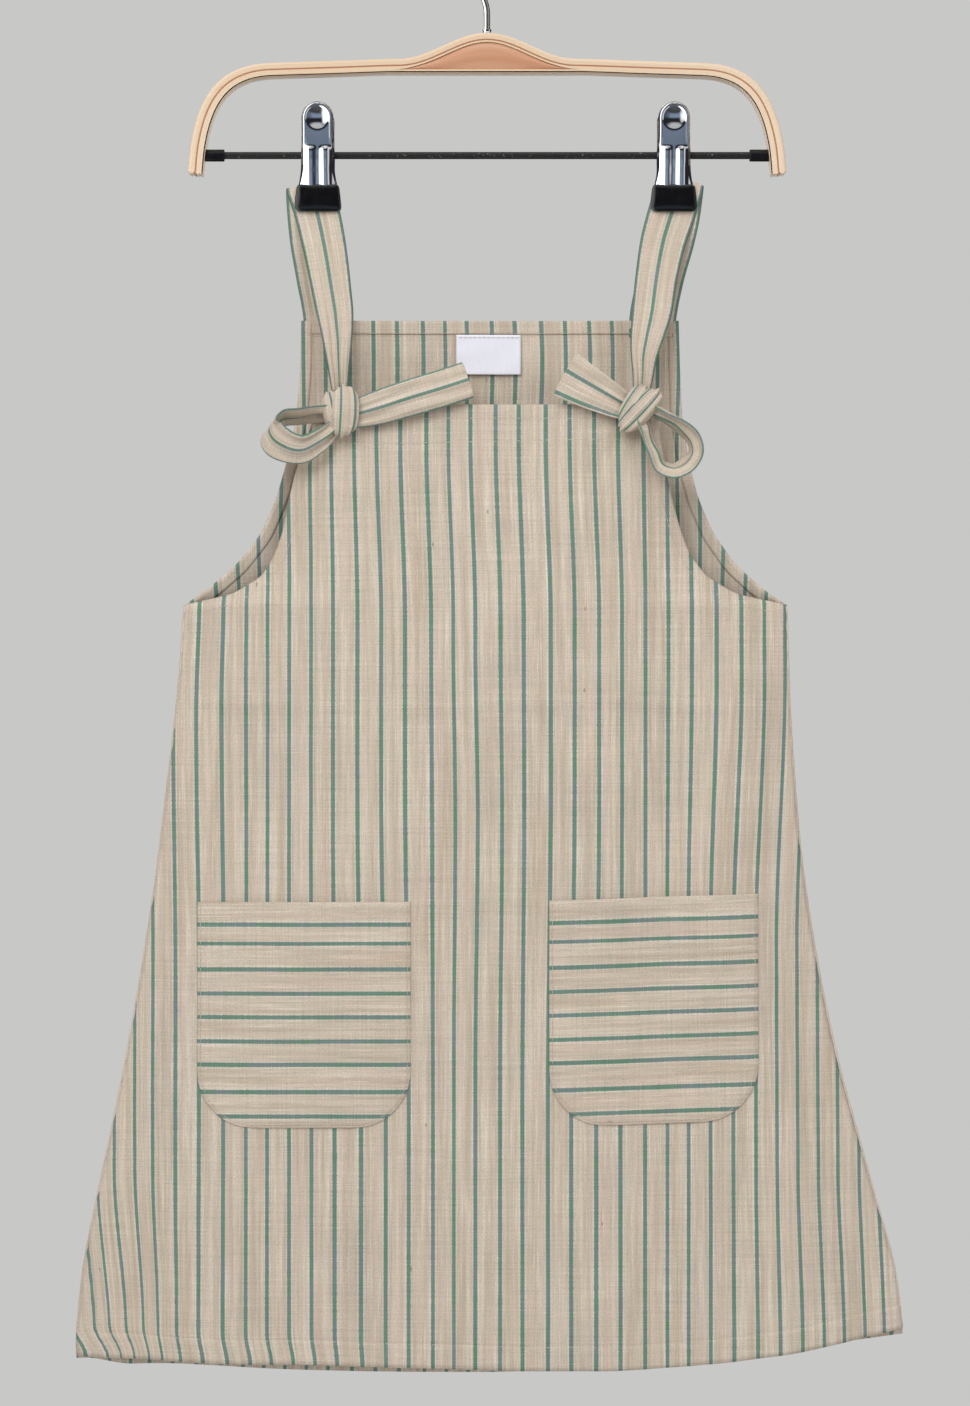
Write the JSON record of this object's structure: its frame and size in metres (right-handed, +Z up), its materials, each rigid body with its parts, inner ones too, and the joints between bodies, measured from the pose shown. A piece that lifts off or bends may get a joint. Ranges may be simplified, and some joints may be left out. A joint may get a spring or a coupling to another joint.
{
  "type": "pinafore dress on clip hanger",
  "caption": "Child's sleeveless striped pinafore dress with tied shoulder straps and patch pockets, clipped by its straps to a laminated wooden swivel-hook hanger.",
  "frame": {"origin": "inner top of the hook bend, where it rests on a rail", "axes": "+Z up along the hook stem, +X along the bar to the right as seen from the front, the dress front faces -Y"},
  "size_m": [0.457, 0.0494, 0.8065],
  "materials": {
    "plated_steel": "satin",
    "chrome_steel": "polished",
    "beech": "satin",
    "glue_core": "matte",
    "cherry_veneer": "gloss",
    "black_steel": "satin",
    "black_plastic": "gloss",
    "black_vinyl": "gloss",
    "striped_linen": "matte",
    "label_tape": "satin"
  },
  "bodies": {
    "hook": {"hook_wire": "plated_steel"},
    "hanger": {"hook_ferrule": "chrome_steel", "hook_washer": "plated_steel", "wood_upper_strip": "beech", "wood_glue_core": "glue_core", "wood_lower_strip": "beech", "wood_infill": "cherry_veneer", "trouser_bar": "black_steel", "bar_bush_left": "black_plastic", "bar_bush_right": "black_plastic"},
    "garment": {"front_panel": "striped_linen", "back_panel": "striped_linen", "front_bib_facing": "striped_linen", "back_neck_facing": "striped_linen", "front_armhole_facing_left": "striped_linen", "front_armhole_facing_right": "striped_linen", "back_armhole_facing_left": "striped_linen", "back_armhole_facing_right": "striped_linen", "pocket_left": "striped_linen", "pocket_right": "striped_linen", "left_shoulder_strap": "striped_linen", "left_front_tie": "striped_linen", "left_bow_knot": "striped_linen", "left_bow_loop": "striped_linen", "right_shoulder_strap": "striped_linen", "right_front_tie": "striped_linen", "right_bow_knot": "striped_linen", "right_bow_loop": "striped_linen"},
    "left_clip": {"left_clip_back_jaw": "chrome_steel", "left_clip_back_tip": "black_vinyl", "left_clip_spring": "black_steel"},
    "left_front_jaw": {"left_clip_front_jaw": "chrome_steel", "left_clip_front_tip": "black_vinyl"},
    "right_clip": {"right_clip_back_jaw": "chrome_steel", "right_clip_back_tip": "black_vinyl", "right_clip_spring": "black_steel"},
    "right_front_jaw": {"right_clip_front_jaw": "chrome_steel", "right_clip_front_tip": "black_vinyl"},
    "label_flap": {"size_label": "label_tape"},
    "left_tail": {"left_bow_tail": "striped_linen"},
    "right_tail": {"right_bow_tail": "striped_linen"}
  },
  "joints": [
    {"name": "hook_swivel", "type": "hinge", "parent": "hook", "child": "hanger", "pos_m": [0, 0, -0.0658], "axis": [0, 0, 1], "continuous": true},
    {"name": "garment_swing", "type": "hinge", "parent": "hanger", "child": "garment", "pos_m": [0, 0, -0.1328], "axis": [1, 0, 0], "range_deg": [-60, 60]},
    {"name": "left_clip_slide", "type": "slide", "parent": "garment", "child": "left_clip", "axis": [1, 0, 0], "range_m": [-0.02, 0.02]},
    {"name": "left_jaw_open", "type": "hinge", "parent": "left_clip", "child": "left_front_jaw", "pos_m": [-0.0932, 0, -0.1328], "axis": [-1, 0, 0], "range_deg": [0, 28], "stiffness_Nm_per_rad": 0.45, "springref_deg": -34.38, "deforming": ["left_clip_spring"]},
    {"name": "right_clip_slide", "type": "slide", "parent": "garment", "child": "right_clip", "axis": [1, 0, 0], "range_m": [-0.02, 0.02]},
    {"name": "right_jaw_open", "type": "hinge", "parent": "right_clip", "child": "right_front_jaw", "pos_m": [0.1029, 0, -0.1328], "axis": [-1, 0, 0], "range_deg": [0, 28], "stiffness_Nm_per_rad": 0.45, "springref_deg": -34.38, "deforming": ["right_clip_spring"]},
    {"name": "label_flip", "type": "hinge", "parent": "garment", "child": "label_flap", "pos_m": [0.00085, 0.0067, -0.231], "axis": [-1, 0, 0], "range_deg": [0, 120]},
    {"name": "left_tail_flop", "type": "hinge", "parent": "garment", "child": "left_tail", "pos_m": [-0.0727, -0.0166, -0.2728], "axis": [0, 0, -1], "range_deg": [0, 28], "stiffness_Nm_per_rad": 0.0005},
    {"name": "right_tail_flop", "type": "hinge", "parent": "garment", "child": "right_tail", "pos_m": [0.0735, -0.0166, -0.2696], "axis": [0, 0, 1], "range_deg": [0, 28], "stiffness_Nm_per_rad": 0.0005}
  ]
}
